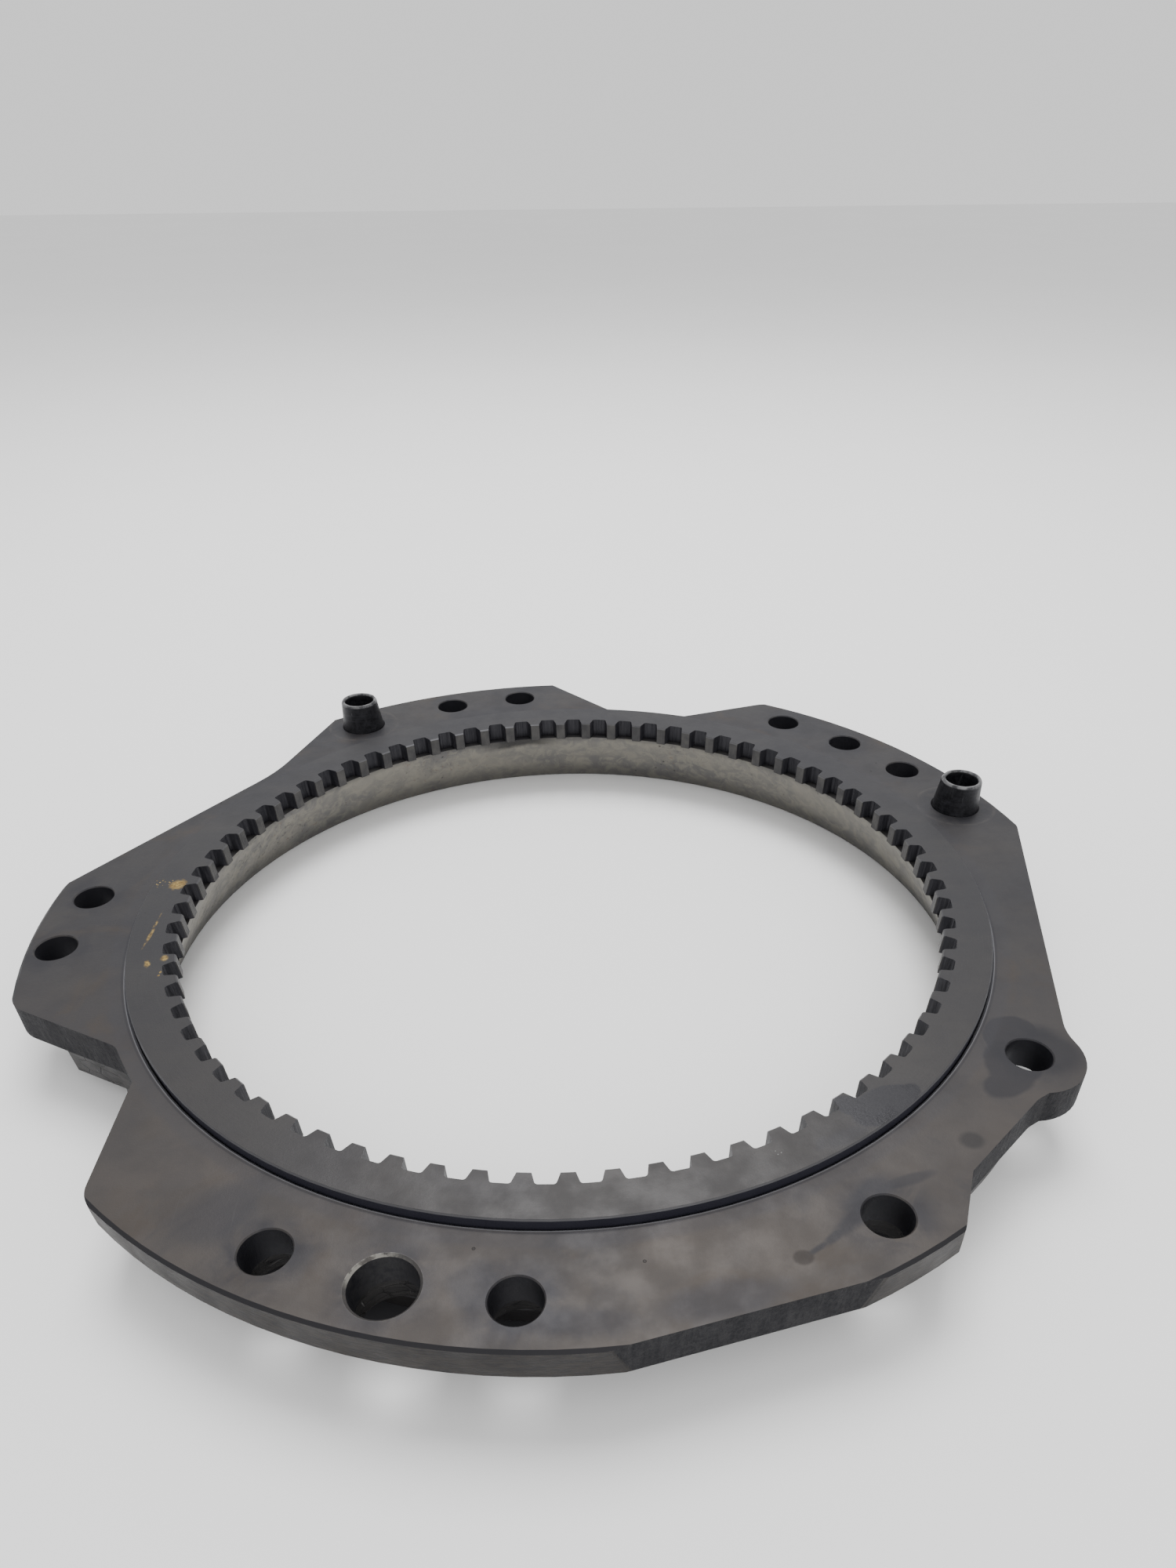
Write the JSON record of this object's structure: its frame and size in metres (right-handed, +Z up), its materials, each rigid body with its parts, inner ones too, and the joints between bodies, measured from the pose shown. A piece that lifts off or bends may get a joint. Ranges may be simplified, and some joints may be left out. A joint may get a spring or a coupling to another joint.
{
  "type": "slewing ring bearing",
  "caption": "Slewing ring bearing: a ring with internal stub teeth turns on balls inside a flat mount plate with bolting lobes, an ear and two hollow dowel sleeves.",
  "frame": {"origin": "on the rotation axis, at the lower face of the toothed ring, which is what the bearing lies on", "axes": "+Z up along the rotation axis towards the toothed face; -Y towards the viewer of the reference view; +X to the viewer's right"},
  "size_m": [0.4905, 0.4948, 0.0535],
  "materials": {
    "plate_steel": "dark phosphated, mottled, dull",
    "race_steel": "turned and scratched, dull",
    "ring_steel": "dark phosphated, dull, oiled",
    "ball_steel": "polished",
    "cage_steel": "rolled strip, oiled",
    "shim_steel": "rolled",
    "seal_rubber": "matt",
    "screw_steel": "black oxide",
    "sleeve_steel": "black with worn bright rims",
    "nipple_zinc": "yellow zinc plated"
  },
  "bodies": {
    "outer_ring": {"mount_plate": "plate_steel", "lower_race_ring": "race_steel", "shim_pack": "shim_steel", "upper_seal": "seal_rubber", "lower_seal": "seal_rubber", "dowel_sleeve_right": "sleeve_steel", "dowel_sleeve_left": "sleeve_steel", "clamp_screws": "screw_steel", "lock_washers": "screw_steel", "locating_pins": "shim_steel", "grease_nipple_1": "nipple_zinc", "grease_nipple_2": "nipple_zinc", "grease_nipple_3": "nipple_zinc", "grease_nipple_4": "nipple_zinc"},
    "inner_ring": {"inner_ring_gear": "ring_steel"},
    "ball_set": {"load_balls": "ball_steel", "cage_segment_1": "cage_steel", "cage_segment_2": "cage_steel", "cage_segment_3": "cage_steel", "cage_segment_4": "cage_steel", "cage_segment_5": "cage_steel", "cage_segment_6": "cage_steel"}
  },
  "joints": [
    {"name": "ring_turn", "type": "hinge", "parent": "outer_ring", "child": "inner_ring", "pos_m": [0, 0, 0.023], "axis": [0, 0, 1], "continuous": true},
    {"name": "ball_set_turn", "type": "hinge", "parent": "outer_ring", "child": "ball_set", "pos_m": [0, 0, 0.023], "axis": [0, 0, 1], "continuous": true}
  ],
  "couplings": [
    {"joint": "ball_set_turn", "follows": "ring_turn", "ratio": 0.4912}
  ]
}
